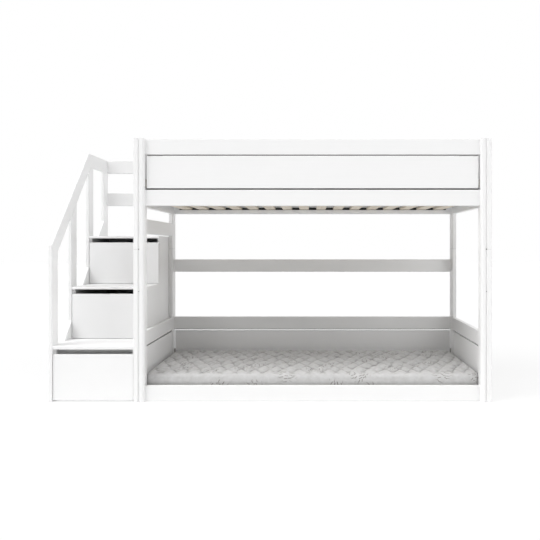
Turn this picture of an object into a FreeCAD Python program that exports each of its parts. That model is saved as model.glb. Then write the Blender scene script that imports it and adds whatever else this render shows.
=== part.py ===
import FreeCAD, Part
import math
import os
from FreeCAD import Vector

# Bunk bed with storage stairs, in millimetres, +Z up. The origin is on the floor, at the middle of
# the whole footprint. The bed's long side lies along X, its open front faces -Y, and the stairs
# stand against its left end. Boards are white lacquered wood, a few millimetres apart where the
# guard panels float between their rails.

# ---- bed frame ----
BED_LENGTH = 2070.0
BED_DEPTH = 1020.0
BED_HEIGHT = 1524.0
PLANK_T = 27.0            # end planks and end boards
PLANK_W = 100.0
POST_JOINT_Z = 882.0      # where an upper post half stands on a lower one
JOINT_CHAMFER = 1.0
STILE_W = 36.0            # front stile, measured along the bed
STILE_D = 60.0
STILE_ROUND = 15.0
GROOVE_W = 7.0            # shadow groove between stile and end plank
GROOVE_D = 14.0
RAIL_T = 28.0
RAIL_H = 90.0
UPPER_RAIL_H = 93.0       # rails round the upper bunk and behind the stairs
RAIL_RECESS = 20.0        # from the posts' outer edges to the long rails
PANEL_T = 22.0
PANEL_H = 186.0
PANEL_GAP = 9.0
FRONT_RAIL_Z = 0.0
LOWER_GUARD_Z = 3.0       # undersides of the lower rails at the rear and the ends
MIDDLE_RAIL_Z = 714.0
STAIR_BOARD_GAP = 70.0    # from the left end board beside the top tread to the rail above it
ENTRANCE_W = 300.0        # way from the top tread into the upper bunk
ENTRANCE_POST_W = 60.0
EDGE_R = 4.0
PANEL_R = 3.0

# ---- slats and mattresses ----
SLAT_W = 67.0
SLAT_T = 16.0
SLAT_PITCH = 121.0
SLAT_END_GAP = 2.0
SLAT_CHAMFER = 2.0
LEDGER_H = 24.0
LEDGER_T = 24.0
LEDGER_END_GAP = 4.0
UPPER_LEDGER_LIFT = 7.0   # above the underside of the upper rails
MATTRESS_END_GAP = 13.0   # from the end boards
MATTRESS_SIDE_GAP = 17.0  # from the long rails
MATTRESS_H = 120.0
MATTRESS_TOP_R = 32.0
MATTRESS_BOTTOM_R = 14.0
MATTRESS_BULGE = 4.0      # how far the sides stand out at half height
MATTRESS_CROWN = 6.0      # how much higher the middle is than the edges
MATTRESS_END_SHRINK = 28.0  # how much smaller the end faces are, all round
MATTRESS_END_STEPS = 4

# ---- stairs ----
STAIR_WIDTH = 490.0
STEP_RISE = 323.0
STEP_FRONTS = (5.0, 303.0, 616.0)   # tread fronts, behind the bed's front
TREAD_T = (21.0, 16.0, 16.0)
TREAD_R = 4.0
LEFT_FRAME_T = 21.0       # uprights, side boards and handrail
CABINET_LEFT_T = 15.0
CABINET_RIGHT_T = 12.0
CABINET_BACK_T = 12.0
UPRIGHT_W = 90.0
HANDRAIL_W = 90.0
HANDRAIL_ANGLE = 45.0
HANDRAIL_START_Z = 905.0  # top corner of the front upright
GUSSET = 112.0            # the corner in front of each upright
STAIR_REAR_RAIL_Z = 1194.0

# ---- drawers ----
FINGER_SLOT = 28.0        # open slot above each drawer front
SLOT_BOARD = (60.0, 12.0, 40.0)   # board behind the lowest slot: depth behind the tread's edge,
                                  # thickness and height
FLOOR_GAP = 8.0
FRONT_GAP = 2.0           # round a drawer front, and behind the tread's edge
FRONT_T = 18.0
CLOSING_GAP = 1.0         # between a closed drawer front and the cabinet sides behind it
FRONT_R = 2.0
BOX_REAR_GAPS = (283.0, 85.0, 32.0)   # behind each box, up to the cabinet's back
BOX_H = 190.0
BOX_LIFT = 15.0           # box underside above the front's lower edge
BOX_SIDE_T = 15.0
BOX_BACK_T = 12.0
BOX_BOTTOM_T = 6.0
BOX_BOTTOM_LIFT = 10.0
BOX_SIDE_GAP = 5.0        # from box side to cabinet side
BATTEN_H = 18.0
BATTEN_INSERT = 6.0       # how far a runner batten reaches into the drawer side
RUNNER_CLEARANCE = 0.4

# ---- plates and loose tenons, each in its own slot ----
FIT_CLEARANCE = 0.1
TENON_T = 8.0
TENON_W = 44.0            # between end boards and posts
TENON_GRIP = 30.0
PANEL_TENON_W = 44.0      # across the gap at each end of a guard panel
PANEL_TENON_GRIP = 12.0
PANEL_TENON_LIFT = 8.0    # above the panel's lower edge
THIN_GRIP = 14.0          # into the thin boards of the stairs
PLATE_T = 4.0             # steel plates between long rails and posts, and in the post joints
PLATE_W = 50.0
PLATE_GRIP = 24.0
POST_PLATE_GRIP = 40.0

# ---- places that follow from the sizes above ----
X_LEFT = -(BED_LENGTH + STAIR_WIDTH) / 2
BED_X = (X_LEFT + STAIR_WIDTH, X_LEFT + STAIR_WIDTH + BED_LENGTH)
BED_MID = sum(BED_X) / 2
Y_FRONT = -BED_DEPTH / 2
Y_REAR = BED_DEPTH / 2
INNER_X = (BED_X[0] + PLANK_T, BED_X[1] - PLANK_T)
FRONT_SPAN = (INNER_X[0] + STILE_W, INNER_X[1] - STILE_W)
END_SPAN = (Y_FRONT + PLANK_W, Y_REAR - PLANK_W)
FRONT_RAIL_Y = (Y_FRONT + RAIL_RECESS, Y_FRONT + RAIL_RECESS + RAIL_T)
REAR_RAIL_Y = (Y_REAR - RAIL_RECESS - RAIL_T, Y_REAR - RAIL_RECESS)
UPPER_GUARD_Z = BED_HEIGHT - 2 * UPPER_RAIL_H - 2 * PANEL_GAP - PANEL_H
STAIR_BOARD_Z = UPPER_GUARD_Z - STAIR_BOARD_GAP - RAIL_H
SLAT_COUNT = int((FRONT_SPAN[1] - FRONT_SPAN[0] - SLAT_W) / SLAT_PITCH) + 1
LOWER_SLAT_Z = LOWER_GUARD_Z + LEDGER_H
UPPER_SLAT_Z = UPPER_GUARD_Z + UPPER_LEDGER_LIFT + LEDGER_H

FRAME_X = (X_LEFT, X_LEFT + LEFT_FRAME_T)
TREAD_X = (FRAME_X[1], BED_X[0])
CABINET_X = (TREAD_X[0] + CABINET_LEFT_T, TREAD_X[1] - CABINET_RIGHT_T)
STEP_Y = [Y_FRONT + front for front in STEP_FRONTS]
SIDE_Y = [y + FRONT_GAP + FRONT_T + CLOSING_GAP for y in STEP_Y]
TREAD_Z = [STEP_RISE * (step + 1) for step in range(len(STEP_FRONTS))]
UNDER_TREAD_Z = [z - thick for z, thick in zip(TREAD_Z, TREAD_T)]
CABINET_BACK_Y = Y_REAR - CABINET_BACK_T

MATTRESS_X = (INNER_X[0] + MATTRESS_END_GAP, INNER_X[1] - MATTRESS_END_GAP)
MATTRESS_Y = (FRONT_RAIL_Y[1] + MATTRESS_SIDE_GAP, REAR_RAIL_Y[0] - MATTRESS_SIDE_GAP)

PARTS = {}
JOINERY = {"steel_plates": [], "loose_tenons": []}


# ---- basic shapes ----
def block(x, y, z):
    """A plain block between three pairs of limits."""
    return Part.makeBox(x[1] - x[0], y[1] - y[0], z[1] - z[0], Vector(x[0], y[0], z[0]))


def edges_along(shape, axis):
    """The straight edges that run parallel to an axis, 0 for X, 1 for Y or 2 for Z."""
    found = []
    for edge in shape.Edges:
        run = edge.lastVertex().Point - edge.firstVertex().Point
        across = [abs(run[other]) for other in range(3) if other != axis]
        if max(across) < 0.001 and abs(run[axis]) > 0.001:
            found.append(edge)
    return found


def board(x, y, z, along, radius=EDGE_R):
    """A board whose four long edges are rounded."""
    shape = block(x, y, z)
    spans = [limits[1] - limits[0] for limits in (x, y, z)]
    thin = min(span for axis, span in enumerate(spans) if axis != along)
    return shape.makeFillet(min(radius, thin * 0.45), edges_along(shape, along))


def prism(points, x):
    """An outline in the Y-Z plane, drawn out between two X limits."""
    corners = [Vector(x[0], y, z) for y, z in points]
    outline = Part.makePolygon(corners + corners[:1])
    return Part.Face(outline).extrude(Vector(x[1] - x[0], 0, 0))


def rounded_prism(points, x, rounded, radius=EDGE_R):
    """A prism with the numbered sides of its outline rounded on both faces."""
    shape = prism(points, x)
    chosen = []
    for edge in shape.Edges:
        middle = (edge.firstVertex().Point + edge.lastVertex().Point) * 0.5
        for side in rounded:
            start, end = points[side], points[(side + 1) % len(points)]
            on_side = abs(middle.y - (start[0] + end[0]) / 2) + abs(middle.z - (start[1] + end[1]) / 2)
            if on_side < 0.01:
                chosen.append(edge)
    return shape.makeFillet(min(radius, (x[1] - x[0]) * 0.45), chosen)


def across_bed(shape):
    """The same piece on the bed's other end."""
    return shape.mirror(Vector(BED_MID, 0, 0), Vector(1, 0, 0))


# ---- joinery ----
def around(middle, width):
    """Limits of the given width about a middle."""
    return middle - width / 2, middle + width / 2


def inset(limits, amount):
    """Limits moved inwards at both ends."""
    return limits[0] + amount, limits[1] - amount


def let_in(group, names, x, y, z, along):
    """A flat plate or tenon in a slot through the named pieces. It fits its slot's ends."""
    limits = (x, y, z)
    slot = [inset(limits[axis], 0 if axis == along else -FIT_CLEARANCE) for axis in range(3)]
    for name in names:
        PARTS[name] = PARTS[name].cut(block(*slot))
    JOINERY[group].append(block(x, y, z))


# ---- end posts ----
def post_half(x, y, z, joint_z):
    """Half of an end plank, with a fine chamfer round the end that meets the other half."""
    shape = board(x, y, z, along=2)
    joint_face = min(shape.Faces, key=lambda face: abs(face.CenterOfMass.z - joint_z))
    return shape.makeChamfer(JOINT_CHAMFER, joint_face.Edges)


def end_posts():
    """Two planks at each end, each made of a lower and an upper half on one steel plate."""
    rows = {"front": (Y_FRONT, Y_FRONT + PLANK_W), "rear": (Y_REAR - PLANK_W, Y_REAR)}
    ends = {"left": (BED_X[0], INNER_X[0]), "right": (INNER_X[1], BED_X[1])}
    for end, x in ends.items():
        for row, y in rows.items():
            lower = f"{end}_{row}_post_lower"
            upper = f"{end}_{row}_post_upper"
            PARTS[lower] = post_half(x, y, (0, POST_JOINT_Z), POST_JOINT_Z)
            PARTS[upper] = post_half(x, y, (POST_JOINT_Z, BED_HEIGHT), POST_JOINT_Z)
            let_in("steel_plates", [lower, upper], around(sum(x) / 2, PLATE_T),
                   around(sum(y) / 2, PLATE_W), around(POST_JOINT_Z, 2 * POST_PLATE_GRIP), along=2)


def front_stiles():
    """A full-height stile beside each front post: its inner edge is well rounded, and a rebate
    along its outer edge leaves the shadow groove."""
    x = (INNER_X[0], INNER_X[0] + STILE_W)
    y = (Y_FRONT, Y_FRONT + STILE_D)
    z = (0, BED_HEIGHT)
    shape = block(x, y, z)
    inner_edge = [edge for edge in edges_along(shape, 2)
                  if abs(edge.firstVertex().Point.x - x[1]) < 0.01
                  and abs(edge.firstVertex().Point.y - y[0]) < 0.01]
    shape = shape.makeFillet(STILE_ROUND, inner_edge)
    shape = shape.cut(block((x[0], x[0] + GROOVE_W), (y[0], y[0] + GROOVE_D), z))
    groove_edge = [edge for edge in edges_along(shape, 2)
                   if abs(edge.firstVertex().Point.x - x[0] - GROOVE_W) < 0.01
                   and abs(edge.firstVertex().Point.y - y[0]) < 0.01]
    shape = shape.makeFillet(EDGE_R, groove_edge)
    PARTS["left_front_stile"] = shape
    PARTS["right_front_stile"] = across_bed(shape)


# ---- rails and floating panels ----
def guard_levels(base, rail_h):
    """Lower rail, panel and upper rail heights of a guard whose underside is at base."""
    panel_z = base + rail_h + PANEL_GAP
    top_z = panel_z + PANEL_H + PANEL_GAP
    return (base, base + rail_h), (panel_z, panel_z + PANEL_H), (top_z, top_z + rail_h)


def floating_panel(name, x, y, z, holders):
    """A panel with a gap all round it, held by one wide tenon across the gap at each end."""
    long_axis = 0 if x[1] - x[0] > y[1] - y[0] else 1
    span = inset((x, y)[long_axis], -PANEL_GAP / 2)
    across = around(sum((y, x)[long_axis]) / 2, TENON_T)
    height = (z[0] + PANEL_TENON_LIFT, z[0] + PANEL_TENON_LIFT + PANEL_TENON_W)
    PARTS[name] = board(x, y, z, along=long_axis, radius=PANEL_R)
    for place, holder in zip(span, holders):
        length = around(place, PANEL_GAP + 2 * PANEL_TENON_GRIP)
        sides = (length, across) if long_axis == 0 else (across, length)
        let_in("loose_tenons", [name, holder], *sides, height, along=long_axis)


def post_halves(end, row, z):
    """The post halves that a piece between two heights meets."""
    names = []
    if z[0] < POST_JOINT_Z:
        names.append(f"{end}_{row}_post_lower")
    if z[1] > POST_JOINT_Z:
        names.append(f"{end}_{row}_post_upper")
    return names


def long_rail(name, row, z):
    """A rail along the bed, hung on a steel plate at each end."""
    y = FRONT_RAIL_Y if row == "front" else REAR_RAIL_Y
    x = FRONT_SPAN if row == "front" else INNER_X
    PARTS[name] = board(x, y, z, along=0)
    for end, place in zip(("left", "right"), x):
        carrier = [f"{end}_front_stile"] if row == "front" else post_halves(end, row, z)
        let_in("steel_plates", carrier + [name], around(place, 2 * PLATE_GRIP),
               around(sum(y) / 2, PLATE_T), around(sum(z) / 2, PLATE_W), along=0)


def end_board(name, end, z, span=END_SPAN, into=("front", "rear")):
    """A board across the end of the bed, tenoned into the posts' edges."""
    x = (BED_X[0], INNER_X[0]) if end == "left" else (INNER_X[1], BED_X[1])
    PARTS[name] = board(x, span, z, along=1)
    neighbours = {"front": post_halves(end, "front", z), "rear": post_halves(end, "rear", z)}
    neighbours["entrance"] = ["entrance_post"]
    for place, meets in zip(span, into):
        let_in("loose_tenons", neighbours[meets] + [name], around(sum(x) / 2, TENON_T),
               around(place, 2 * TENON_GRIP), around(sum(z) / 2, TENON_W), along=1)


# ---- sides and ends of the bed ----
def front_side():
    """The front is open above the low rail, up to the upper bunk's guard."""
    long_rail("front_lower_rail", "front", (FRONT_RAIL_Z, FRONT_RAIL_Z + RAIL_H))
    low, panel, high = guard_levels(UPPER_GUARD_Z, UPPER_RAIL_H)
    long_rail("front_upper_rail", "front", low)
    long_rail("front_guard_rail", "front", high)
    floating_panel("front_guard_panel", inset(FRONT_SPAN, PANEL_GAP), around(sum(FRONT_RAIL_Y) / 2, PANEL_T),
                   panel, ("left_front_stile", "right_front_stile"))


def rear_side():
    """A guard behind each mattress, and a middle rail between them."""
    guards = (("lower", LOWER_GUARD_Z, RAIL_H, "rear_lower_rail", "rear_lower_panel", "rear_lower_guard_rail"),
              ("upper", UPPER_GUARD_Z, UPPER_RAIL_H, "rear_upper_rail", "rear_guard_panel", "rear_guard_rail"))
    for half, base, rail_h, rail, panel_name, guard in guards:
        low, panel, high = guard_levels(base, rail_h)
        long_rail(rail, "rear", low)
        long_rail(guard, "rear", high)
        floating_panel(panel_name, inset(INNER_X, PANEL_GAP), around(sum(REAR_RAIL_Y) / 2, PANEL_T), panel,
                       (f"left_rear_post_{half}", f"right_rear_post_{half}"))
    long_rail("rear_middle_rail", "rear", (MIDDLE_RAIL_Z, MIDDLE_RAIL_Z + RAIL_H))


def bed_ends():
    """Guards across both ends. On the left, the upper one stops at the entrance."""
    plank_x = {"left": (BED_X[0], INNER_X[0]), "right": (INNER_X[1], BED_X[1])}
    for end in ("left", "right"):
        low, panel, high = guard_levels(LOWER_GUARD_Z, RAIL_H)
        end_board(f"{end}_lower_rail", end, low)
        end_board(f"{end}_lower_guard_rail", end, high)
        floating_panel(f"{end}_lower_panel", around(sum(plank_x[end]) / 2, PANEL_T), inset(END_SPAN, PANEL_GAP),
                       panel, (f"{end}_front_post_lower", f"{end}_rear_post_lower"))
    low, panel, high = guard_levels(UPPER_GUARD_Z, UPPER_RAIL_H)
    end_board("right_upper_rail", "right", low)
    end_board("right_guard_rail", "right", high)
    floating_panel("right_guard_panel", around(sum(plank_x["right"]) / 2, PANEL_T), inset(END_SPAN, PANEL_GAP),
                   panel, ("right_front_post_upper", "right_rear_post_upper"))

    post_y = (END_SPAN[1] - ENTRANCE_W - ENTRANCE_POST_W, END_SPAN[1] - ENTRANCE_W)
    short_span = (END_SPAN[0], post_y[0])
    end_board("left_stair_board", "left", (STAIR_BOARD_Z, STAIR_BOARD_Z + RAIL_H))
    end_board("left_upper_rail", "left", low)
    PARTS["entrance_post"] = board(plank_x["left"], post_y, (low[1], BED_HEIGHT), along=2)
    end_board("left_guard_rail", "left", high, short_span, ("front", "entrance"))
    floating_panel("left_guard_panel", around(sum(plank_x["left"]) / 2, PANEL_T), inset(short_span, PANEL_GAP),
                   panel, ("left_front_post_upper", "entrance_post"))
    let_in("loose_tenons", ["left_upper_rail", "entrance_post"],
           around(sum(plank_x["left"]) / 2, TENON_T), around(sum(post_y) / 2, TENON_W / 2),
           around(low[1], 2 * TENON_GRIP), along=2)


# ---- slatted bases and mattresses ----
def slatted_bases():
    """Loose slats for each bunk, on ledgers along the front and rear rails."""
    ledger_x = inset(FRONT_SPAN, LEDGER_END_GAP)
    ledger_y = ((FRONT_RAIL_Y[1], FRONT_RAIL_Y[1] + LEDGER_T), (REAR_RAIL_Y[0] - LEDGER_T, REAR_RAIL_Y[0]))
    slat_y = (FRONT_RAIL_Y[1] + SLAT_END_GAP, REAR_RAIL_Y[0] - SLAT_END_GAP)
    ledgers = []
    for name, slat_z in (("lower_slats", LOWER_SLAT_Z), ("upper_slats", UPPER_SLAT_Z)):
        slats = []
        for number in range(SLAT_COUNT):
            middle = BED_MID + (number - (SLAT_COUNT - 1) / 2) * SLAT_PITCH
            slat = block(around(middle, SLAT_W), slat_y, (slat_z, slat_z + SLAT_T))
            slats.append(slat.makeChamfer(SLAT_CHAMFER, edges_along(slat, 1)))
        PARTS[name] = Part.makeCompound(slats)
        ledgers += [block(ledger_x, y, (slat_z - LEDGER_H, slat_z)) for y in ledger_y]
    PARTS["slat_ledgers"] = Part.makeCompound(ledgers)


def mattress_section(x, shrink, base, crown):
    """One cross-section: flat underside, softly bulging sides, rounded corners and a crowned top."""
    middle = sum(MATTRESS_Y) / 2
    half = (MATTRESS_Y[1] - MATTRESS_Y[0]) / 2 - MATTRESS_BULGE - shrink
    low = base + shrink * MATTRESS_BOTTOM_R / MATTRESS_TOP_R
    edge_z = base + MATTRESS_H - MATTRESS_CROWN - shrink
    top_r = MATTRESS_TOP_R
    bottom_r = MATTRESS_BOTTOM_R
    diagonal = 1 - math.sqrt(0.5)

    def point(y, z):
        return Vector(x, middle + y, z)

    def arc(first, middle, last):
        return Part.Arc(first, middle, last).toShape()

    foot = [point(side * (half - bottom_r), low) for side in (-1, 1)]
    knee = [point(side * half, low + bottom_r) for side in (-1, 1)]
    hip = [point(side * half, edge_z - top_r) for side in (-1, 1)]
    brow = [point(side * (half - top_r), edge_z) for side in (-1, 1)]
    knee_mid = [point(side * (half - bottom_r * diagonal), low + bottom_r * diagonal) for side in (-1, 1)]
    brow_mid = [point(side * (half - top_r * diagonal), edge_z - top_r * diagonal) for side in (-1, 1)]
    side_z = (knee[0].z + hip[0].z) / 2
    side_mid = [point(side * (half + MATTRESS_BULGE), side_z) for side in (-1, 1)]
    edges = [
        Part.LineSegment(foot[0], foot[1]).toShape(),
        arc(foot[1], knee_mid[1], knee[1]),
        arc(knee[1], side_mid[1], hip[1]),
        arc(hip[1], brow_mid[1], brow[1]),
        arc(brow[1], point(0, edge_z + crown), brow[0]),
        arc(brow[0], brow_mid[0], hip[0]),
        arc(hip[0], side_mid[0], knee[0]),
        arc(knee[0], knee_mid[0], foot[0]),
    ]
    return Part.Wire(edges)


def mattress(base):
    """Sections from end to end. Towards each end they shrink along a quarter circle."""
    places = []
    for step in range(MATTRESS_END_STEPS + 1):
        angle = math.radians(90 * step / MATTRESS_END_STEPS)
        inwards = MATTRESS_TOP_R * (1 - math.cos(angle))
        shrink = MATTRESS_END_SHRINK * (1 - math.sin(angle))
        places.append((inwards, shrink))
    end_crown = MATTRESS_CROWN / 2
    sections = [mattress_section(MATTRESS_X[0] + inwards, shrink, base, end_crown)
                for inwards, shrink in places]
    sections.append(mattress_section(sum(MATTRESS_X) / 2, 0.0, base, MATTRESS_CROWN))
    sections += [mattress_section(MATTRESS_X[1] - inwards, shrink, base, end_crown)
                 for inwards, shrink in reversed(places)]
    return Part.makeLoft(sections, True, True)


def mattresses():
    PARTS["lower_mattress"] = mattress(LOWER_SLAT_Z + SLAT_T)
    PARTS["upper_mattress"] = mattress(UPPER_SLAT_Z + SLAT_T)


# ---- stairs ----
def on_frame(points):
    """An outline of the stairs' left frame, given as (behind the bed's front, height)."""
    return [(Y_FRONT + y, z) for y, z in points]


def handrail_underside(y):
    """Height of the handrail's lower edge: it climbs, then runs level."""
    slope = math.radians(HANDRAIL_ANGLE)
    climbing = HANDRAIL_START_Z + y * math.tan(slope) - HANDRAIL_W / math.cos(slope)
    return min(climbing, BED_HEIGHT - HANDRAIL_W)


def stair_left_frame():
    """Uprights, side boards with corner gussets, and the mitred handrail, all in one plane."""
    slope = math.tan(math.radians(HANDRAIL_ANGLE))
    level_z = BED_HEIGHT - HANDRAIL_W
    outer_bend = (BED_HEIGHT - HANDRAIL_START_Z) / slope
    inner_bend = (level_z - handrail_underside(0)) / slope
    starts = [0.0, STEP_FRONTS[1], STEP_FRONTS[2], BED_DEPTH - UPRIGHT_W]

    uprights = []
    for start in starts:
        end = start + UPRIGHT_W
        top = [(end, handrail_underside(end)), (start, handrail_underside(start))]
        if start == starts[0]:
            top[1] = (start, HANDRAIL_START_Z)
        if start < inner_bend < end:
            top.insert(1, (inner_bend, level_z))
        outline = on_frame([(start, 0), (end, 0)] + top)
        uprights.append(rounded_prism(outline, FRAME_X, (1, len(outline) - 1)))
    PARTS["stair_uprights"] = Part.makeCompound(uprights)

    sloped = [(starts[0], HANDRAIL_START_Z), (starts[0] + UPRIGHT_W, handrail_underside(UPRIGHT_W)),
              (inner_bend, level_z), (outer_bend, BED_HEIGHT)]
    PARTS["stair_sloped_rail"] = rounded_prism(on_frame(sloped), FRAME_X, (1, 3))
    level = [(inner_bend, level_z), (BED_DEPTH, level_z), (BED_DEPTH, BED_HEIGHT), (outer_bend, BED_HEIGHT)]
    PARTS["stair_top_rail"] = rounded_prism(on_frame(level), FRAME_X, (0, 2))

    boards = []
    for start, end, top in zip(starts, starts[1:], TREAD_Z):
        low_y = start + UPRIGHT_W
        side = [(low_y, 0), (end, 0), (end, top + GUSSET), (end - GUSSET, top), (low_y, top)]
        boards.append(rounded_prism(on_frame(side), FRAME_X, (2, 3), radius=PANEL_R))
    PARTS["stair_side_boards"] = Part.makeCompound(boards)

    for start in starts[1:]:
        middle = start + UPRIGHT_W / 2
        let_in("loose_tenons", ["stair_uprights", "stair_sloped_rail", "stair_top_rail"],
               around(sum(FRAME_X) / 2, TENON_T), around(Y_FRONT + middle, TENON_W / 2),
               around(handrail_underside(middle), 2 * TENON_GRIP), along=2)


def cabinet_side(x):
    """A stepped cabinet side. Its steps are under the treads, and its risers behind the drawer fronts."""
    outline = []
    for front, low, high in zip(SIDE_Y, [0.0] + UNDER_TREAD_Z, UNDER_TREAD_Z):
        outline += [(front, low), (front, high)]
    outline += [(Y_REAR, UNDER_TREAD_Z[-1]), (Y_REAR, 0)]
    return prism(outline, x)


def stair_cabinet():
    """Two stepped sides and a back. The treads lie on the sides and run back between them, and a
    narrow board hangs behind the lowest finger slot."""
    PARTS["stair_left_side"] = cabinet_side((TREAD_X[0], CABINET_X[0]))
    PARTS["stair_right_side"] = cabinet_side((CABINET_X[1], TREAD_X[1]))
    PARTS["stair_back_panel"] = block(CABINET_X, (CABINET_BACK_Y, Y_REAR), (0, UNDER_TREAD_Z[-1]))
    for step, name in enumerate(("lower_tread", "middle_tread", "upper_tread")):
        z = (UNDER_TREAD_Z[step], TREAD_Z[step])
        top_step = step + 1 == len(STEP_Y)
        wide_end = Y_REAR if top_step else SIDE_Y[step + 1]
        tread = block(TREAD_X, (STEP_Y[step], wide_end), z)
        nose = [edge for edge in edges_along(tread, 0)
                if abs(edge.firstVertex().Point.y - STEP_Y[step]) < 0.01]
        tread = tread.makeFillet(TREAD_R, nose)
        if not top_step:
            shelf = block(CABINET_X, (wide_end, CABINET_BACK_Y), z)
            tread = tread.fuse(shelf).removeSplitter()
        PARTS[name] = tread
    depth, thickness, height = SLOT_BOARD
    PARTS["slot_board"] = block(CABINET_X, (STEP_Y[0] + depth, STEP_Y[0] + depth + thickness),
                                (UNDER_TREAD_Z[0] - height, UNDER_TREAD_Z[0]))


def stair_rear_rails():
    """Two rails behind the top tread, tenoned between the last upright and the bed's rear post."""
    y = (Y_REAR - LEFT_FRAME_T, Y_REAR)
    rails = []
    levels = (STAIR_REAR_RAIL_Z, BED_HEIGHT - UPPER_RAIL_H)
    for low in levels:
        rails.append(board(TREAD_X, y, (low, low + UPPER_RAIL_H), along=0))
    PARTS["stair_rear_rails"] = Part.makeCompound(rails)
    for low in levels:
        sides = (around(sum(y) / 2, TENON_T), around(low + UPPER_RAIL_H / 2, TENON_W))
        let_in("loose_tenons", ["stair_rear_rails", "stair_uprights", "stair_top_rail"],
               around(TREAD_X[0], 2 * THIN_GRIP), *sides, along=0)
        let_in("loose_tenons", ["stair_rear_rails", "left_rear_post_upper"],
               around(TREAD_X[1], 2 * THIN_GRIP), *sides, along=0)


# ---- drawers ----
def drawer_limits(step):
    """Height limits of a drawer's front, and of the box behind it."""
    floor = TREAD_Z[step] - STEP_RISE
    low = floor + (FLOOR_GAP if step == 0 else FRONT_GAP)
    front = (low, UNDER_TREAD_Z[step] - FINGER_SLOT)
    return front, (low + BOX_LIFT, low + BOX_LIFT + BOX_H)


def drawer(step, name):
    """A front that covers the cabinet sides, with a box between them behind it. The grooved box sides
    slide on battens on the cabinet."""
    front_z, box_z = drawer_limits(step)
    front_y = (STEP_Y[step] + FRONT_GAP, STEP_Y[step] + FRONT_GAP + FRONT_T)
    front_x = inset(TREAD_X, FRONT_GAP)
    front = block(front_x, front_y, front_z)
    outer = [edge for edge in front.Edges
             if max(abs(vertex.Point.y - front_y[0]) for vertex in edge.Vertexes) < 0.01]
    PARTS[f"{name}_drawer_front"] = front.makeFillet(FRONT_R, outer)

    box_x = inset(CABINET_X, BOX_SIDE_GAP)
    inner_x = inset(box_x, BOX_SIDE_T)
    box_y = (front_y[1], CABINET_BACK_Y - BOX_REAR_GAPS[step])
    middle_z = sum(box_z) / 2
    groove_z = (middle_z - BATTEN_H / 2 - RUNNER_CLEARANCE, middle_z + BATTEN_H / 2 + RUNNER_CLEARANCE)
    groove_depth = BATTEN_INSERT + RUNNER_CLEARANCE * 2
    pieces = []
    battens = []
    for side in (0, 1):
        wall_x = sorted((box_x[side], inner_x[side]))
        inwards = 1 if side == 0 else -1
        groove_x = sorted((box_x[side] - inwards, box_x[side] + inwards * groove_depth))
        wall = block(wall_x, box_y, box_z)
        pieces.append(wall.cut(block(groove_x, (box_y[0] - 1, box_y[1] + 1), groove_z)))
        batten_x = sorted((CABINET_X[side], box_x[side] + inwards * BATTEN_INSERT))
        battens.append(block(batten_x, (SIDE_Y[step], box_y[1]),
                             (middle_z - BATTEN_H / 2, middle_z + BATTEN_H / 2)))
    back_y = (box_y[1] - BOX_BACK_T, box_y[1])
    bottom_z = (box_z[0] + BOX_BOTTOM_LIFT, box_z[0] + BOX_BOTTOM_LIFT + BOX_BOTTOM_T)
    pieces.append(block(inner_x, back_y, box_z))
    pieces.append(block(inner_x, (box_y[0], back_y[0]), bottom_z))
    PARTS[f"{name}_drawer_box"] = Part.makeCompound(pieces)
    return battens


def drawers():
    battens = []
    for step, name in enumerate(("lower", "middle", "upper")):
        battens += drawer(step, name)
    PARTS["drawer_battens"] = Part.makeCompound(battens)


# ---- build and write ----
end_posts()
front_stiles()
front_side()
rear_side()
bed_ends()
slatted_bases()
mattresses()
stair_left_frame()
stair_cabinet()
stair_rear_rails()
drawers()
for group, solids in JOINERY.items():
    PARTS[group] = Part.makeCompound(solids)

os.makedirs("parts", exist_ok=True)
for name, shape in PARTS.items():
    shape.exportStep(f"parts/{name}.step")
print(len(PARTS), "nodes,", sum(len(shape.Solids) for shape in PARTS.values()), "solids")
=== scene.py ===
import math

import bpy
from mathutils import Matrix, Vector, noise


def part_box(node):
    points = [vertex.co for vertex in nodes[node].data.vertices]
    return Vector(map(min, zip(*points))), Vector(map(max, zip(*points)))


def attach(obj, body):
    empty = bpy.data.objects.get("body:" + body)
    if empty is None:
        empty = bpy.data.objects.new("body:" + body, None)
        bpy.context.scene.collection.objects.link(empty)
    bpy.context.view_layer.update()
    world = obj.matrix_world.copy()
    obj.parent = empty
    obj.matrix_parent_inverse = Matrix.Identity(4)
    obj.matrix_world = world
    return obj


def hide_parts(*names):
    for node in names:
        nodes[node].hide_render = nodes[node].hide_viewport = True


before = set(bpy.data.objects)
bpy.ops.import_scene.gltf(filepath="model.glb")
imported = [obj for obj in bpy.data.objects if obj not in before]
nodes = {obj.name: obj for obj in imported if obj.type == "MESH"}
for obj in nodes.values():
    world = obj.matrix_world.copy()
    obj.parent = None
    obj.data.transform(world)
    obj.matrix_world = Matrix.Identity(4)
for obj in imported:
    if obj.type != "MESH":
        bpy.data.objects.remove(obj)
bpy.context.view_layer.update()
bpy.ops.object.select_all(action="DESELECT")


# ---- camera ----
# A level camera stands in front of the bed's middle, a little over half the bed's height up.
# The photograph's frame is wider on the stairs' side, so the lens is shifted.
CAMERA_Y, CAMERA_HEIGHT = -4.230, 0.898
bed_middle_x = sum(corner.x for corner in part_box("front_upper_rail")) / 2
bpy.ops.object.camera_add(location=(bed_middle_x, CAMERA_Y, CAMERA_HEIGHT), rotation=(math.radians(90), 0, 0))
camera = bpy.context.object
camera.name = "camera"
camera.data.sensor_width = 36
camera.data.lens = 42.98
camera.data.shift_x = -0.0789
camera.data.shift_y = -0.0435
camera.data.clip_end = 100
bpy.context.scene.camera = camera


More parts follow.
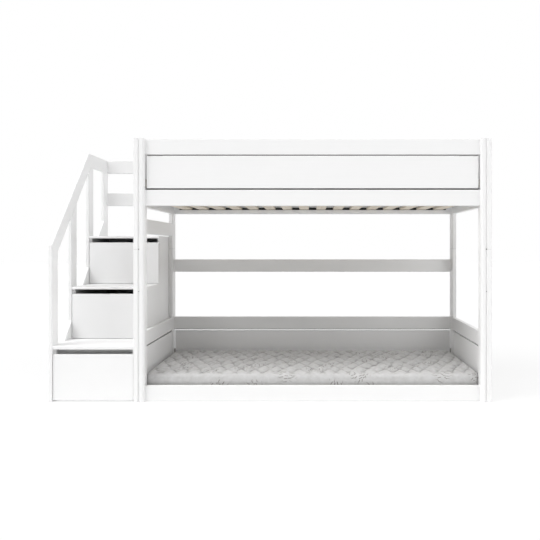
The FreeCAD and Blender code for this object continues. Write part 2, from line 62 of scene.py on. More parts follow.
# ---- studio: surround and floor ----
# Soft boxes stand behind a white surround and light the bed from both sides, the strongest ones high on
# the left. Little comes from straight in front. A matt white floor throws some of it back up.
def linear(hex_colour):
    """The linear RGBA value of an sRGB hex colour."""
    channels = [int(hex_colour[place:place + 2], 16) / 255 for place in (1, 3, 5)]
    return [c / 12.92 if c <= 0.04045 else ((c + 0.055) / 1.055) ** 2.4 for c in channels] + [1.0]


def add_node(tree, kind, inputs=None, **settings):
    """A new shader node. An input is given a plain value or the socket that feeds it."""
    new = tree.nodes.new(kind)
    for setting, value in settings.items():
        setattr(new, setting, value)
    for name, value in (inputs or {}).items():
        if isinstance(value, bpy.types.NodeSocket):
            tree.links.new(value, new.inputs[name])
        else:
            new.inputs[name].default_value = value
    return new


def new_tree(owner):
    """An emptied node tree on a material or a world."""
    owner.use_nodes = True
    owner.node_tree.nodes.clear()
    return owner.node_tree


def seen_directly(tree):
    """1 for rays that show the surroundings themselves, straight, mirrored or through glass."""
    path = add_node(tree, "ShaderNodeLightPath")
    mirrored = add_node(tree, "ShaderNodeMath", operation="MAXIMUM",
                        inputs={0: path.outputs["Is Camera Ray"], 1: path.outputs["Is Glossy Ray"]})
    return add_node(tree, "ShaderNodeMath", operation="MAXIMUM",
                    inputs={0: mirrored.outputs[0], 1: path.outputs["Is Transmission Ray"]}).outputs[0]


SOFT_BOXES = (          # azimuth and height in degrees, brightness at the middle, and how narrow each is
    (-150, 36, 6.22, 20), (-150, 60, 4.85, 20), (-120, 60, 0.55, 20), (-90, 60, 0.40, 20),
    (-60, 36, 0.25, 20), (-30, 12, 1.27, 20), (-30, 36, 3.27, 20), (-30, 60, 1.45, 20),
    (0, 90, 0.95, 12), (45, 25, 0.98, 8))
world = bpy.data.worlds.new("white_surround")
bpy.context.scene.world = world
tree = new_tree(world)
NOT_FACING = 0.0001         # a power of exactly zero isn't safe
outward = add_node(tree, "ShaderNodeVectorMath", operation="NORMALIZE",
                   inputs={0: add_node(tree, "ShaderNodeTexCoord").outputs["Generated"]}).outputs[0]
brightness = 0.0
for azimuth, height, level, narrowness in SOFT_BOXES:
    azimuth, height = math.radians(azimuth), math.radians(height)
    middle = (math.cos(azimuth) * math.cos(height), math.sin(azimuth) * math.cos(height), math.sin(height))
    facing = add_node(tree, "ShaderNodeVectorMath", operation="DOT_PRODUCT", inputs={0: outward, 1: middle})
    facing = add_node(tree, "ShaderNodeMath", operation="MAXIMUM",
                      inputs={0: facing.outputs["Value"], 1: NOT_FACING})
    glow = add_node(tree, "ShaderNodeMath", operation="POWER", inputs={0: facing.outputs[0], 1: narrowness})
    brightness = add_node(tree, "ShaderNodeMath", operation="MULTIPLY_ADD",
                          inputs={0: glow.outputs[0], 1: level, 2: brightness}).outputs[0]
lighting = add_node(tree, "ShaderNodeBackground", inputs={"Color": linear("#FFFFFF"), "Strength": brightness})
shown = add_node(tree, "ShaderNodeBackground", inputs={"Color": linear("#FFFFFF"), "Strength": 1.0})
mixed = add_node(tree, "ShaderNodeMixShader",
                 inputs={0: seen_directly(tree), 1: lighting.outputs[0], 2: shown.outputs[0]})
add_node(tree, "ShaderNodeOutputWorld", inputs={"Surface": mixed.outputs[0]})

FLOOR_SIZE = 60
FLOOR_DROP = 0.0005         # under the bed's feet, so that the two faces don't coincide
FLOOR_SHOWN_WHITE = 0.8     # how far the shown floor is brought up to plain white
# Matt emulsion paint: no gloss, and only the bed's soft shadow to be seen on it.
floor_finish = bpy.data.materials.new("matt_white_studio_floor")
tree = new_tree(floor_finish)
paint = add_node(tree, "ShaderNodeBsdfPrincipled", inputs={"Base Color": linear("#E8E8E8"), "Roughness": 0.9})
white = add_node(tree, "ShaderNodeEmission", inputs={"Color": linear("#FFFFFF"), "Strength": 1.0})
share = add_node(tree, "ShaderNodeMath", operation="MULTIPLY",
                 inputs={0: seen_directly(tree), 1: FLOOR_SHOWN_WHITE})
mixed = add_node(tree, "ShaderNodeMixShader",
                 inputs={0: share.outputs[0], 1: paint.outputs[0], 2: white.outputs[0]})
add_node(tree, "ShaderNodeOutputMaterial", inputs={"Surface": mixed.outputs[0]})
bpy.ops.mesh.primitive_plane_add(size=FLOOR_SIZE, location=(0, 0, -FLOOR_DROP))
floor = bpy.context.object
floor.name = "studio_floor"
floor.data.materials.append(floor_finish)


# ---- bed frame: planks, stiles, rails and guard panels ----
# Solid boards, sprayed with satin white lacquer. Under the lacquer the grain still shows as faint
# long ripples in the gloss, and the spray leaves a fine orange peel over it. End planks are two lengths.
GRAIN_WIDTH, GRAIN_LENGTH = 0.004, 0.180        # a growth ring is about 4 mm wide here
PEEL_SIZE = 0.0025                              # orange peel, from crest to crest
JOINT_LINE = 0.0008


def give_finish(names, finish):
    """Puts one finish on each named CAD node."""
    for name in names:
        for slot in nodes[name].material_slots:
            slot.material = finish


def white_lacquer(name, along, joint_height=None):
    """Satin white spray lacquer on solid wood, with the grain running along one axis.

    Where a board is made of two lengths, a hairline shows in the lacquer at the joint."""
    finish = bpy.data.materials.new(name)
    tree = new_tree(finish)
    place = add_node(tree, "ShaderNodeTexCoord").outputs["Object"]
    stretch = [1 / GRAIN_WIDTH] * 3
    stretch[along] = 1 / GRAIN_LENGTH
    along_grain = add_node(tree, "ShaderNodeMapping", inputs={"Vector": place, "Scale": stretch})
    grain = add_node(tree, "ShaderNodeTexNoise",
                     inputs={"Vector": along_grain.outputs[0], "Scale": 1.0, "Detail": 3.0, "Roughness": 0.55})
    peel = add_node(tree, "ShaderNodeTexNoise",
                    inputs={"Vector": place, "Scale": 1 / PEEL_SIZE, "Detail": 1.0})
    tone = add_node(tree, "ShaderNodeMix", data_type="RGBA", clamp_factor=True,
                    inputs={0: grain.outputs["Fac"], 6: linear("#E6E6E6"), 7: linear("#E9E9E9")})
    if joint_height is not None:
        height = add_node(tree, "ShaderNodeSeparateXYZ", inputs={"Vector": place}).outputs["Z"]
        at_joint = add_node(tree, "ShaderNodeMath", operation="COMPARE",
                            inputs={0: height, 1: joint_height, 2: JOINT_LINE / 2})
        tone = add_node(tree, "ShaderNodeMix", data_type="RGBA",
                        inputs={0: at_joint.outputs[0], 6: tone.outputs[2], 7: linear("#8C8C8C")})
    gloss = add_node(tree, "ShaderNodeMapRange",
                     inputs={"Value": grain.outputs["Fac"], "To Min": 0.34, "To Max": 0.46})
    ripple = add_node(tree, "ShaderNodeBump",
                      inputs={"Height": grain.outputs["Fac"], "Strength": 0.12, "Distance": 0.0004})
    surface = add_node(tree, "ShaderNodeBump",
                       inputs={"Height": peel.outputs["Fac"], "Strength": 0.10, "Distance": 0.0002,
                               "Normal": ripple.outputs[0]})
    skin = add_node(tree, "ShaderNodeBsdfPrincipled",
                    inputs={"Base Color": tone.outputs[2], "Roughness": gloss.outputs[0], "IOR": 1.5,
                            "Specular IOR Level": 0.5, "Normal": surface.outputs[0]})
    add_node(tree, "ShaderNodeOutputMaterial", inputs={"Surface": skin.outputs[0]})
    return finish


lacquer_upright = white_lacquer("satin_white_lacquer_upright", along=2)
lacquer_lengthwise = white_lacquer("satin_white_lacquer_lengthwise", along=0)
lacquer_crosswise = white_lacquer("satin_white_lacquer_crosswise", along=1)
lacquer_plank = white_lacquer("satin_white_lacquer_end_planks", along=2,
                              joint_height=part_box("left_front_post_lower")[1].z)

lacquered = [name for name, node in nodes.items()
             if any("white_lacquer" in slot.material.name for slot in node.material_slots if slot.material)]
for name in lacquered:
    low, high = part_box(name)
    spans = high - low
    longest = max(range(3), key=lambda axis: spans[axis])
    give_finish([name], lacquer_plank if "_post_" in name else
                (lacquer_lengthwise, lacquer_crosswise, lacquer_upright)[longest])


# ---- cover strips and screws in the front grooves ----
# Between each front stile and its end plank runs a narrow groove. A lacquered cover strip closes it a
# few millimetres down, and two small socket-head screws, blackened in hot oxide, hold the strip.
STRIP_DEPTH = 0.005          # from the stile's face down to the strip
GROOVE_WIDTH, GROOVE_DEPTH = 0.007, 0.014
STRIP_EDGE, STRIP_END_GAP = 0.0006, 0.0005
SCREWS = ((0.8825, 0.0026), (0.6385, 0.0019))     # height above the floor, and the head's radius
HEAD_HEIGHT = 0.003


def cut_strip(name, low, high, edge):
    """A straight strip between two corners, with its long edges broken."""
    bpy.ops.object.select_all(action="DESELECT")
    middle = [(low[axis] + high[axis]) / 2 for axis in range(3)]
    bpy.ops.mesh.primitive_cube_add(size=1, location=middle)
    strip = bpy.context.object
    strip.name = name
    strip.scale = [high[axis] - low[axis] for axis in range(3)]
    bpy.ops.object.transform_apply(location=True, rotation=True, scale=True)
    rounding = strip.modifiers.new("broken_edges", "BEVEL")
    rounding.width = edge
    rounding.segments = 2
    bpy.ops.object.modifier_apply(modifier=rounding.name)
    return strip


def socket_head(name, x, y, z, radius):
    """A screw's cylinder head on a surface that faces the room, with a hexagon socket."""
    bpy.ops.object.select_all(action="DESELECT")
    facing = (math.radians(90), 0, 0)
    bpy.ops.mesh.primitive_cylinder_add(vertices=32, radius=radius, depth=HEAD_HEIGHT,
                                        location=(x, y - HEAD_HEIGHT / 2, z), rotation=facing)
    head = bpy.context.object
    head.name = name
    bpy.ops.object.transform_apply(location=True, rotation=True, scale=True)
    edge = head.modifiers.new("broken_edge", "BEVEL")
    edge.width = radius / 8
    edge.segments = 2
    edge.angle_limit = math.radians(60)
    bpy.ops.object.modifier_apply(modifier=edge.name)
    bpy.ops.mesh.primitive_cylinder_add(vertices=6, radius=radius / 2, depth=HEAD_HEIGHT,
                                        location=(x, y - HEAD_HEIGHT, z), rotation=facing)
    key = bpy.context.object
    bpy.ops.object.select_all(action="DESELECT")
    head.select_set(True)
    bpy.context.view_layer.objects.active = head
    socket = head.modifiers.new("socket", "BOOLEAN")
    socket.operation = "DIFFERENCE"
    socket.object = key
    bpy.ops.object.modifier_apply(modifier=socket.name)
    bpy.data.objects.remove(key)
    return head


# The oxide leaves a soft black sheen, a little uneven from the turned surface under it.
TURNING_MARK = 0.0015
black_oxide = bpy.data.materials.new("black_oxide_steel")
tree = new_tree(black_oxide)
place = add_node(tree, "ShaderNodeTexCoord").outputs["Object"]
turned = add_node(tree, "ShaderNodeTexNoise", inputs={"Vector": place, "Scale": 1 / TURNING_MARK, "Detail": 2.0})
gloss = add_node(tree, "ShaderNodeMapRange",
                 inputs={"Value": turned.outputs["Fac"], "To Min": 0.38, "To Max": 0.55})
skin = add_node(tree, "ShaderNodeBsdfPrincipled",
                inputs={"Base Color": linear("#26262A"), "Metallic": 1.0, "Roughness": gloss.outputs[0]})
add_node(tree, "ShaderNodeOutputMaterial", inputs={"Surface": skin.outputs[0]})

for side, stile_name in (("left", "left_front_stile"), ("right", "right_front_stile")):
    low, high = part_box(stile_name)
    inner, outer = (low.x, low.x + GROOVE_WIDTH) if side == "left" else (high.x - GROOVE_WIDTH, high.x)
    strip_face = low.y + STRIP_DEPTH
    strip = cut_strip(f"{side}_groove_strip", (inner, strip_face, low.z + STRIP_END_GAP),
                      (outer, low.y + GROOVE_DEPTH, high.z - STRIP_END_GAP), STRIP_EDGE)
    strip.data.materials.append(lacquer_upright)
    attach(strip, "bed")
    for number, (height, radius) in enumerate(SCREWS):
        head = socket_head(f"{side}_strip_screw_{number}", (inner + outer) / 2, strip_face, height, radius)
        head.data.materials.append(black_oxide)
        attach(head, "bed")


# ---- dark felt strips: painted shade round the loose panels and behind the slats ----
# Each guard panel floats in its frame. It rests on a strip of dark felt, and a thinner one above keeps
# it from rattling. Strips of the same felt keep the slats from knocking on the rails and ledgers.
# The felt's near-black grey is painted shade: it darkens the gaps round the panels, the pocket behind the slats and
# the line under them.
FELT_BELOW, FELT_ABOVE = 0.006, 0.003
FELT_WIDTH = 0.016
FELT_EDGE = 0.0003
SLAT_FELT_HEIGHT, SLAT_FELT_THICKNESS = 0.015, 0.0016
LEDGER_FELT_HEIGHT, LEDGER_FELT_THICKNESS = 0.003, 0.0010
LEDGER_WIDTH = 0.024
OFF_THE_RAIL = 0.0001        # so that felt and rail don't coincide
FIBRE_CLUMP = 0.0012

# Pressed wool: dull, nearly without gloss, and mottled by its fibres. Its near-black grey is painted shade for the
# gaps.
shade_felt = bpy.data.materials.new("dark_felt_painted_shade")
tree = new_tree(shade_felt)
place = add_node(tree, "ShaderNodeTexCoord").outputs["Object"]
fibres = add_node(tree, "ShaderNodeTexNoise", inputs={"Vector": place, "Scale": 1 / FIBRE_CLUMP, "Detail": 3.0})
tone = add_node(tree, "ShaderNodeMix", data_type="RGBA",
                inputs={0: fibres.outputs["Fac"], 6: linear("#323231"), 7: linear("#50504E")})
fuzz = add_node(tree, "ShaderNodeBump",
                inputs={"Height": fibres.outputs["Fac"], "Strength": 0.5, "Distance": 0.0004})
skin = add_node(tree, "ShaderNodeBsdfPrincipled",
                inputs={"Base Color": tone.outputs[2], "Roughness": 0.95, "Specular IOR Level": 0.2,
                        "Sheen Weight": 0.1, "Normal": fuzz.outputs[0]})
add_node(tree, "ShaderNodeOutputMaterial", inputs={"Surface": skin.outputs[0]})


def shade_felt_strip(name, low, high):
    strip = cut_strip(name, low, high, FELT_EDGE)
    strip.data.materials.append(shade_felt)
    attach(strip, "bed")


for name in [name for name in nodes if name.endswith("_panel") and not name.startswith("stair")]:
    low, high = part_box(name)
    base = name.replace("guard_panel", "upper_rail").replace("lower_panel", "lower_rail")
    cap = name.replace("guard_panel", "guard_rail").replace("lower_panel", "lower_guard_rail")
    rail_top, cap_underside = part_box(base)[1].z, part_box(cap)[0].z
    thin = min((0, 1), key=lambda axis: high[axis] - low[axis])     # the way through the panel
    spans = [[low[axis], high[axis]] for axis in (0, 1)]
    middle = sum(spans[thin]) / 2
    spans[thin] = [middle - FELT_WIDTH / 2, middle + FELT_WIDTH / 2]
    for place_name, bottom, top in (("under", rail_top, rail_top + FELT_BELOW),
                                    ("over", cap_underside - FELT_ABOVE, cap_underside)):
        shade_felt_strip(f"{name}_felt_{place_name}", (spans[0][0], spans[1][0], bottom), (spans[0][1], spans[1][1], top))

ledger_top = {"lower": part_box("lower_slats")[0].z, "upper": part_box("upper_slats")[0].z}
for level, top in ledger_top.items():
    low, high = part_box("slat_ledgers")
    for row, (wall, inward) in {"front": (low.y, 1), "rear": (high.y, -1)}.items():
        near, far = sorted((wall + inward * OFF_THE_RAIL, wall + inward * (OFF_THE_RAIL + SLAT_FELT_THICKNESS)))
        shade_felt_strip(f"{level}_{row}_slat_shade_felt", (low.x, near, top), (high.x, far, top + SLAT_FELT_HEIGHT))
        edge = wall + inward * LEDGER_WIDTH
        near, far = sorted((edge, edge + inward * LEDGER_FELT_THICKNESS))
        shade_felt_strip(f"{level}_{row}_ledger_shade_felt", (low.x, near, top - LEDGER_FELT_HEIGHT), (high.x, far, top))


# ---- slatted bases ----
# Planed, untreated pine slats on white ledgers. The wood is pale straw, with darker late-wood
# lines along each slat, and only the planing gives it a slight sheen.
RING_WIDTH, RING_LENGTH = 0.006, 0.400
BOARD_TO_BOARD = 0.120       # one board is a little paler than the next


def planed_wood(name, pale, dark, along):
    """Planed wood with growth-ring lines along one axis."""
    finish = bpy.data.materials.new(name)
    tree = new_tree(finish)
    place = add_node(tree, "ShaderNodeTexCoord").outputs["Object"]
    stretch = [1 / RING_WIDTH] * 3
    stretch[along] = 1 / RING_LENGTH
    along_grain = add_node(tree, "ShaderNodeMapping", inputs={"Vector": place, "Scale": stretch})
    rings = add_node(tree, "ShaderNodeTexNoise",
                     inputs={"Vector": along_grain.outputs[0], "Scale": 1.0, "Detail": 4.0, "Roughness": 0.6})
    board = add_node(tree, "ShaderNodeTexNoise",
                     inputs={"Vector": place, "Scale": 1 / BOARD_TO_BOARD, "Detail": 0.0})
    shade = add_node(tree, "ShaderNodeMath", operation="MULTIPLY_ADD",
                     inputs={0: board.outputs["Fac"], 1: 0.5, 2: rings.outputs["Fac"]})
    ramp = add_node(tree, "ShaderNodeMapRange",
                    inputs={"Value": shade.outputs[0], "From Min": 0.45, "From Max": 1.05})
    tone = add_node(tree, "ShaderNodeMix", data_type="RGBA",
                    inputs={0: ramp.outputs[0], 6: linear(dark), 7: linear(pale)})
    relief = add_node(tree, "ShaderNodeBump",
                      inputs={"Height": rings.outputs["Fac"], "Strength": 0.2, "Distance": 0.0005})
    skin = add_node(tree, "ShaderNodeBsdfPrincipled",
                    inputs={"Base Color": tone.outputs[2], "Roughness": 0.62, "IOR": 1.5,
                            "Normal": relief.outputs[0]})
    add_node(tree, "ShaderNodeOutputMaterial", inputs={"Surface": skin.outputs[0]})
    return finish


give_finish(["upper_slats", "lower_slats"], planed_wood("planed_pine", "#E6DDCF", "#CFC1AC", along=1))
give_finish(["loose_tenons", "drawer_battens"], planed_wood("grey_stained_hardwood", "#A9A49C", "#8F8A83", along=1))

# Bright zinc plating, whose fine crystals make the gloss a little patchy.
ZINC_CRYSTAL = 0.003
plate_finish = bpy.data.materials.new("zinc_plated_steel")
tree = new_tree(plate_finish)
place = add_node(tree, "ShaderNodeTexCoord").outputs["Object"]
spangle = add_node(tree, "ShaderNodeTexNoise", inputs={"Vector": place, "Scale": 1 / ZINC_CRYSTAL, "Detail": 2.0})
gloss = add_node(tree, "ShaderNodeMapRange",
                 inputs={"Value": spangle.outputs["Fac"], "To Min": 0.25, "To Max": 0.5})
skin = add_node(tree, "ShaderNodeBsdfPrincipled",
                inputs={"Base Color": linear("#C9CCD0"), "Metallic": 1.0, "Roughness": gloss.outputs[0]})
add_node(tree, "ShaderNodeOutputMaterial", inputs={"Surface": skin.outputs[0]})
give_finish(["steel_plates"], plate_finish)


# ---- mattresses ----
# A foam core in a cover of grey jacquard knit. The top is quilted to a thin filling: wandering stitch
# lines hold it down between long, soft pads. The border and the underside aren't quilted.
PAD_SIZE = (0.086, 0.200)    # from stitch crossing to stitch crossing, along and across the bed
PAD_WANDER = 0.024           # how far the stitch lines stray from an even lattice
WANDER_LENGTH, WANDER_PLANE = 0.16, 3.7     # how slowly they stray, and which slice of the noise is used
noise.seed_set(3)            # so that they stray the same way in every run
PAD_DEPTH = 0.0062           # how deep the valleys between the pads are, past the simulated puff
VALLEY_WIDTH = 0.015         # how far from a stitch line the pads dip
STITCH_WIDTH, STITCH_DEPTH = 0.004, 0.0012  # the thread's own furrow, at the bottom of the valley
BORDER_START, BORDER_FULL = 0.006, 0.020    # below the top: where the quilting fades into the border
EDGE_REACH = 0.050           # from the sides, where the cloth starts to turn down
THREAD_AND_FURROW_SHADE, PAINTED_GATHER_SHADE = 0.18, 0.50   # how far the darker thread with its painted furrow shade, and the painted shade of the gathered cloth, darken the ground
CROSSING_SLOPE = 12          # keeps the distance finite where two stitch lines cross
CORE_SHRINK = 0.004          # the filling's room, all round the core
GRIP_WIDTH = 0.006           # how closely a stitch line holds the cloth while it's blown up
BORDER_GRIP = 0.9
HELD_UNDERSIDE = 0.010       # this far up, the cloth is held still
PUFF_FRAMES = 20
PUFF_LIMIT = 0.008
COVER_VOXEL = 0.0135


def unrolled(point, low, high):
    """Where a point of the cover lies on the cloth, in metres, with the sides rolled out flat."""
    depth = high.z - point.z
    spot = []
    for axis in (0, 1):
        middle = (low[axis] + high[axis]) / 2
        from_edge = (high[axis] - low[axis]) / 2 - abs(point[axis] - middle)
        share = min(max(1 - from_edge / EDGE_REACH, 0.0), 1.0)
        spot.append(point[axis] - middle + math.copysign(share * depth, point[axis] - middle))
    return spot


def pad_place(spot):
    """The same place counted in pads, on a lattice of stitch lines that wanders a little."""
    stray = noise.noise_vector(Vector((spot[0] / WANDER_LENGTH, spot[1] / WANDER_LENGTH, WANDER_PLANE)))
    return [(spot[axis] + stray[axis] * PAD_WANDER) / PAD_SIZE[axis] for axis in (0, 1)]


def quilted_share(point, high):
    """1 on the quilted top, 0 on the plain border."""
    share = min(max((high.z - point.z - BORDER_START) / (BORDER_FULL - BORDER_START), 0.0), 1.0)
    return 1 - share * share * (3 - 2 * share)


def stitch_distance(place):
    """Roughly how far a place in pads is from the nearest stitch line, in metres."""
    turns = [2 * math.pi * part for part in place]
    height = math.cos(turns[0]) + math.cos(turns[1])
    slope = 2 * math.pi * math.hypot(math.sin(turns[0]) / PAD_SIZE[0], math.sin(turns[1]) / PAD_SIZE[1])
    return abs(height) / (slope + CROSSING_SLOPE)


def quilted_cover(node_name):
    """The cover, grown from the foam's shape: remeshed, blown up between its stitches, and creased."""
    low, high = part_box(node_name)
    foam = nodes[node_name]
    mesh = foam.data.copy()
    cover = bpy.data.objects.new(node_name + "_cover", mesh)
    bpy.context.collection.objects.link(cover)
    bpy.ops.object.select_all(action="DESELECT")
    cover.select_set(True)
    bpy.context.view_layer.objects.active = cover
    mesh.materials.clear()
    bpy.ops.object.mode_set(mode="EDIT")
    bpy.ops.mesh.select_all(action="SELECT")
    bpy.ops.mesh.remove_doubles(threshold=0.0001)
    bpy.ops.mesh.normals_make_consistent(inside=False)
    middle = (low + high) / 2
    scale = [1 - 2 * CORE_SHRINK / (high[axis] - low[axis]) for axis in range(3)]
    scale[2] = 1 - CORE_SHRINK / (high.z - low.z)
    bpy.ops.transform.resize(value=scale, center_override=(middle.x, middle.y, low.z))
    bpy.ops.object.mode_set(mode="OBJECT")
    remesh = cover.modifiers.new("even_cloth", "REMESH")
    remesh.mode = "VOXEL"
    remesh.voxel_size = COVER_VOXEL
    bpy.ops.object.modifier_apply(modifier=remesh.name)

    held = cover.vertex_groups.new(name="stitched")
    for vertex in cover.data.vertices:
        distance = stitch_distance(pad_place(unrolled(vertex.co, low, high)))
        top = quilted_share(vertex.co, high)
        grip = top * math.exp(-(distance / GRIP_WIDTH) ** 2) + (1 - top) * BORDER_GRIP
        if vertex.co.z < low.z + HELD_UNDERSIDE:
            grip = 1.0
        held.add([vertex.index], grip, "REPLACE")
    before = [vertex.co.copy() for vertex in cover.data.vertices]
    cloth = cover.modifiers.new("puffed_cloth", "CLOTH")
    cloth.settings.quality = 5
    cloth.settings.mass = 0.15
    cloth.settings.tension_stiffness = cloth.settings.compression_stiffness = 5
    cloth.settings.shear_stiffness = 2
    cloth.settings.bending_stiffness = 0.1
    cloth.settings.use_pressure = True
    cloth.settings.uniform_pressure_force = 30.0
    cloth.settings.effector_weights.gravity = 0.0
    cloth.settings.vertex_group_mass = held.name
    cloth.point_cache.frame_start = 1
    cloth.point_cache.frame_end = PUFF_FRAMES
    for number in range(1, PUFF_FRAMES + 1):
        bpy.context.scene.frame_set(number)
    puffed = cover.evaluated_get(bpy.context.evaluated_depsgraph_get())
    after = [vertex.co.copy() for vertex in puffed.data.vertices]
    cover.modifiers.remove(cloth)
    for vertex, start, end in zip(cover.data.vertices, before, after):
        move = end - start
        if move.length > PUFF_LIMIT:
            move *= PUFF_LIMIT / move.length
        vertex.co = start + move
    bpy.context.scene.frame_set(1)
    cover.vertex_groups.clear()

    smooth = cover.modifiers.new("rounded_pads", "SUBSURF")
    smooth.levels = smooth.render_levels = 1
    bpy.ops.object.modifier_apply(modifier=smooth.name)

    mesh = cover.data
    spots = [unrolled(vertex.co, low, high) for vertex in mesh.vertices]
    places = [pad_place(spot) for spot in spots]
    normals = [vertex.normal.copy() for vertex in mesh.vertices]
    tops = [quilted_share(vertex.co, high) for vertex in mesh.vertices]
    quilting = mesh.attributes.new("quilted", "FLOAT", "POINT")
    for vertex, place, normal, top in zip(mesh.vertices, places, normals, tops):
        quilting.data[vertex.index].value = top
        distance = stitch_distance(place)
        valley = PAD_DEPTH * math.exp(-(distance / VALLEY_WIDTH) ** 2)
        stitch = STITCH_DEPTH * math.exp(-(distance / STITCH_WIDTH) ** 2)
        vertex.co -= normal * (valley + stitch) * top
    for layer_name, values in (("cloth", spots), ("pads", places)):
        layer = mesh.uv_layers.new(name=layer_name)
        for loop in mesh.loops:
            layer.data[loop.index].uv = values[loop.vertex_index]
    mesh.materials.append(cover_finish)
    for face in mesh.polygons:
        face.use_smooth = True
    return cover


SPRAY_SPACING = 0.230
DASH_SPACING = 0.024
DASH_HALF_LENGTH, DASH_END_BLUR = 0.0105, 0.004
DASH_HALF_WIDTH, DASH_SIDE_BLUR = 0.0028, 0.0015
DASH_LEAN = 1.3              # radians, at most, between the dashes of one spray
SPRAY_CORE, SPRAY_RIM = 0.30, 0.48          # in turns of the spray spacing
RAGGED_SIZE, RAGGED_SHARE = 0.060, 0.30
CLOUD_SIZE = 0.035
GATHER_PATCH = 0.075         # the painted shade of the gathers is darker in some patches than in others
THREAD_REACH, GATHER_REACH = 0.30, 0.90     # about 4 and 12 mm to each side of a stitch line
LOOP_SPACING = 0.0016


def quilted_jacquard():
    """Light grey knit with scattered sprays of short, darker dashes, a darker thread, and painted shade in the
    creases by the stitches and where it's gathered.
    """
    finish = bpy.data.materials.new("quilted_grey_jacquard")
    tree = new_tree(finish)
    cloth = add_node(tree, "ShaderNodeUVMap", uv_map="cloth").outputs[0]
    spray = add_node(tree, "ShaderNodeTexVoronoi", voronoi_dimensions="2D",
                     inputs={"Vector": cloth, "Scale": 1 / SPRAY_SPACING, "Randomness": 0.8})
    dash = add_node(tree, "ShaderNodeTexVoronoi", voronoi_dimensions="2D",
                    inputs={"Vector": cloth, "Scale": 1 / DASH_SPACING, "Randomness": 0.85})
    own = add_node(tree, "ShaderNodeVectorMath", operation="SUBTRACT",
                   inputs={0: cloth, 1: dash.outputs["Position"]})
    spray_turn = add_node(tree, "ShaderNodeSeparateColor", inputs={"Color": spray.outputs["Color"]})
    dash_turn = add_node(tree, "ShaderNodeSeparateColor", inputs={"Color": dash.outputs["Color"]})
    lean = add_node(tree, "ShaderNodeMath", operation="MULTIPLY", inputs={0: spray_turn.outputs[0], 1: 2 * math.pi})
    turn = add_node(tree, "ShaderNodeMath", operation="MULTIPLY_ADD",
                    inputs={0: dash_turn.outputs[0], 1: DASH_LEAN, 2: lean.outputs[0]})
    turned = add_node(tree, "ShaderNodeVectorRotate", rotation_type="Z_AXIS",
                      inputs={"Vector": own.outputs[0], "Angle": turn.outputs[0]})
    sides = add_node(tree, "ShaderNodeSeparateXYZ", inputs={"Vector": turned.outputs[0]})
    masks = []
    for axis, half, blur in ((0, DASH_HALF_LENGTH, DASH_END_BLUR), (1, DASH_HALF_WIDTH, DASH_SIDE_BLUR)):
        reach = add_node(tree, "ShaderNodeMath", operation="ABSOLUTE", inputs={0: sides.outputs[axis]})
        mask = add_node(tree, "ShaderNodeMapRange", interpolation_type="SMOOTHSTEP",
                        inputs={"Value": reach.outputs[0], "From Min": half - blur / 2, "From Max": half + blur / 2,
                                "To Min": 1.0, "To Max": 0.0})
        masks.append(mask.outputs[0])
    ragged = add_node(tree, "ShaderNodeTexNoise", noise_dimensions="2D",
                      inputs={"Vector": cloth, "Scale": 1 / RAGGED_SIZE, "Detail": 1.0})
    edge = add_node(tree, "ShaderNodeMath", operation="MULTIPLY_ADD",
                    inputs={0: ragged.outputs["Fac"], 1: RAGGED_SHARE, 2: spray.outputs["Distance"]})
    near = add_node(tree, "ShaderNodeMapRange", interpolation_type="SMOOTHSTEP",
                    inputs={"Value": edge.outputs[0], "From Min": SPRAY_CORE, "From Max": SPRAY_RIM,
                            "To Min": 1.0, "To Max": 0.0})
    stroke = add_node(tree, "ShaderNodeMath", operation="MULTIPLY", inputs={0: masks[0], 1: masks[1]})
    stroke = add_node(tree, "ShaderNodeMath", operation="MULTIPLY",
                      inputs={0: stroke.outputs[0], 1: near.outputs[0]})
    cloud = add_node(tree, "ShaderNodeTexNoise", noise_dimensions="2D",
                     inputs={"Vector": cloth, "Scale": 1 / CLOUD_SIZE, "Detail": 3.0, "Roughness": 0.6})
    ground = add_node(tree, "ShaderNodeMix", data_type="RGBA",
                      inputs={0: cloud.outputs["Fac"], 6: linear("#ABAAA9"), 7: linear("#C6C6C6")})
    tone = add_node(tree, "ShaderNodeMix", data_type="RGBA",
                    inputs={0: stroke.outputs[0], 6: ground.outputs[2], 7: linear("#84817E")})

    pads = add_node(tree, "ShaderNodeUVMap", uv_map="pads").outputs[0]
    count = add_node(tree, "ShaderNodeVectorMath", operation="SCALE", inputs={0: pads, "Scale": 2 * math.pi})
    count = add_node(tree, "ShaderNodeSeparateXYZ", inputs={"Vector": count.outputs[0]})
    waves = [add_node(tree, "ShaderNodeMath", operation="COSINE", inputs={0: count.outputs[axis]}).outputs[0]
             for axis in (0, 1)]
    height = add_node(tree, "ShaderNodeMath", operation="ADD", inputs={0: waves[0], 1: waves[1]})
    height = add_node(tree, "ShaderNodeMath", operation="ABSOLUTE", inputs={0: height.outputs[0]})
    # The crease mask carries the thread's darker grey and painted furrow shade; the gather mask carries painted
    # shade only.
    crease, gather_shade_mask = [add_node(tree, "ShaderNodeMapRange", interpolation_type="SMOOTHSTEP",
                               inputs={"Value": height.outputs[0], "From Min": 0.0, "From Max": reach,
                                       "To Min": 1.0, "To Max": 0.0}) for reach in (THREAD_REACH, GATHER_REACH)]
    top = add_node(tree, "ShaderNodeAttribute", attribute_type="GEOMETRY", attribute_name="quilted").outputs["Fac"]
    crease = add_node(tree, "ShaderNodeMath", operation="MULTIPLY", inputs={0: crease.outputs[0], 1: top})
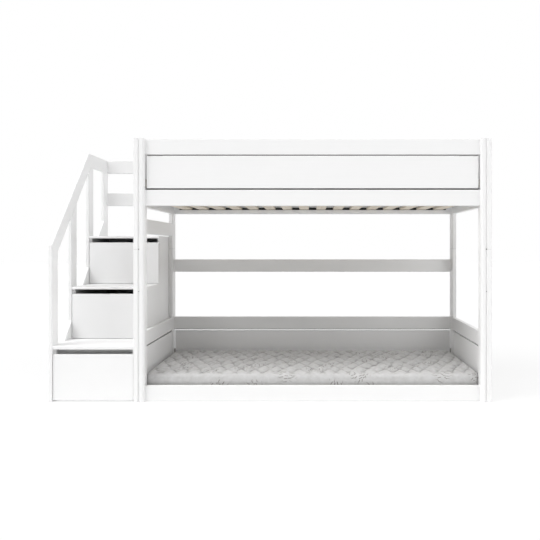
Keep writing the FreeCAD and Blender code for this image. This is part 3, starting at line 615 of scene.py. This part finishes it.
    # Makes the painted shade of the gathers patchy.
    uneven = add_node(tree, "ShaderNodeTexNoise", noise_dimensions="2D",
                      inputs={"Vector": cloth, "Scale": 1 / GATHER_PATCH, "Detail": 2.0, "Roughness": 0.6})
    uneven = add_node(tree, "ShaderNodeMapRange",
                      inputs={"Value": uneven.outputs["Fac"], "From Min": 0.38, "From Max": 0.66})
    painted_crease_shade = add_node(tree, "ShaderNodeMath", operation="MULTIPLY", inputs={0: gather_shade_mask.outputs[0], 1: top})
    painted_crease_shade = add_node(tree, "ShaderNodeMath", operation="MULTIPLY",
                     inputs={0: painted_crease_shade.outputs[0], 1: uneven.outputs[0]})
    painted_crease_shade = add_node(tree, "ShaderNodeMath", operation="MULTIPLY", inputs={0: painted_crease_shade.outputs[0], 1: PAINTED_GATHER_SHADE})
    painted_crease_shade = add_node(tree, "ShaderNodeMath", operation="MULTIPLY_ADD",
                     inputs={0: crease.outputs[0], 1: THREAD_AND_FURROW_SHADE, 2: painted_crease_shade.outputs[0]})
    # Painted shade: near the stitches and where it's gathered, the cloth turns to this darker grey in place of the
    # shade in its creases; near the stitches it is also the thread's darker grey.
    tone = add_node(tree, "ShaderNodeMix", data_type="RGBA", clamp_factor=True,
                    inputs={0: painted_crease_shade.outputs[0], 6: tone.outputs[2], 7: linear("#5F5D5B")})
    stitched = add_node(tree, "ShaderNodeBump", invert=True,
                        inputs={"Height": crease.outputs[0], "Strength": 0.7, "Distance": 0.0015})
    knit = add_node(tree, "ShaderNodeTexVoronoi", voronoi_dimensions="2D",
                    inputs={"Vector": cloth, "Scale": 1 / LOOP_SPACING, "Randomness": 0.35})
    knitted = add_node(tree, "ShaderNodeBump", invert=True,
                       inputs={"Height": knit.outputs["Distance"], "Strength": 0.35, "Distance": 0.0006,
                               "Normal": stitched.outputs[0]})
    skin = add_node(tree, "ShaderNodeBsdfPrincipled",
                    inputs={"Base Color": tone.outputs[2], "Roughness": 0.82, "Sheen Weight": 0.15,
                            "Sheen Roughness": 0.5, "Normal": knitted.outputs[0]})
    add_node(tree, "ShaderNodeOutputMaterial", inputs={"Surface": skin.outputs[0]})
    return finish


cover_finish = quilted_jacquard()
lower_cover = quilted_cover("lower_mattress")
upper_cover = lower_cover.copy()
upper_cover.data = lower_cover.data.copy()
upper_cover.name = "upper_mattress_cover"
bpy.context.collection.objects.link(upper_cover)
bunk_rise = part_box("upper_mattress")[0].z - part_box("lower_mattress")[0].z
upper_cover.data.transform(Matrix.Translation((0, 0, bunk_rise)))
for cover, node_name in ((lower_cover, "lower_mattress"), (upper_cover, "upper_mattress")):
    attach(cover, "bed")
    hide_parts(node_name)


# ---- stairs and drawers ----
# The cabinet, its treads and its drawers are lacquered board: flatter and a little more matt than
# the bed's solid wood, with crisp, barely broken edges.
BOARD_PEEL_SIZE, SPRAY_PASS = 0.003, 0.150


def lacquered_board(name):
    """Satin white lacquer on smooth board: no grain, only orange peel and broad passes of the spray gun."""
    finish = bpy.data.materials.new(name)
    tree = new_tree(finish)
    place = add_node(tree, "ShaderNodeTexCoord").outputs["Object"]
    peel = add_node(tree, "ShaderNodeTexNoise",
                    inputs={"Vector": place, "Scale": 1 / BOARD_PEEL_SIZE, "Detail": 1.0})
    cloud = add_node(tree, "ShaderNodeTexNoise",
                     inputs={"Vector": place, "Scale": 1 / SPRAY_PASS, "Detail": 2.0})
    tone = add_node(tree, "ShaderNodeMix", data_type="RGBA",
                    inputs={0: cloud.outputs["Fac"], 6: linear("#E6E6E6"), 7: linear("#E9E9E9")})
    gloss = add_node(tree, "ShaderNodeMapRange",
                     inputs={"Value": cloud.outputs["Fac"], "To Min": 0.42, "To Max": 0.52})
    surface = add_node(tree, "ShaderNodeBump",
                       inputs={"Height": peel.outputs["Fac"], "Strength": 0.08, "Distance": 0.0002})
    skin = add_node(tree, "ShaderNodeBsdfPrincipled",
                    inputs={"Base Color": tone.outputs[2], "Roughness": gloss.outputs[0], "IOR": 1.5,
                            "Normal": surface.outputs[0]})
    add_node(tree, "ShaderNodeOutputMaterial", inputs={"Surface": skin.outputs[0]})
    return finish


board_finish = lacquered_board("satin_white_lacquered_board")
give_finish([name for name, node in nodes.items()
             if any("white_cabinet" in slot.material.name for slot in node.material_slots if slot.material)],
            board_finish)


bpy.context.scene.view_settings.view_transform = "Standard"
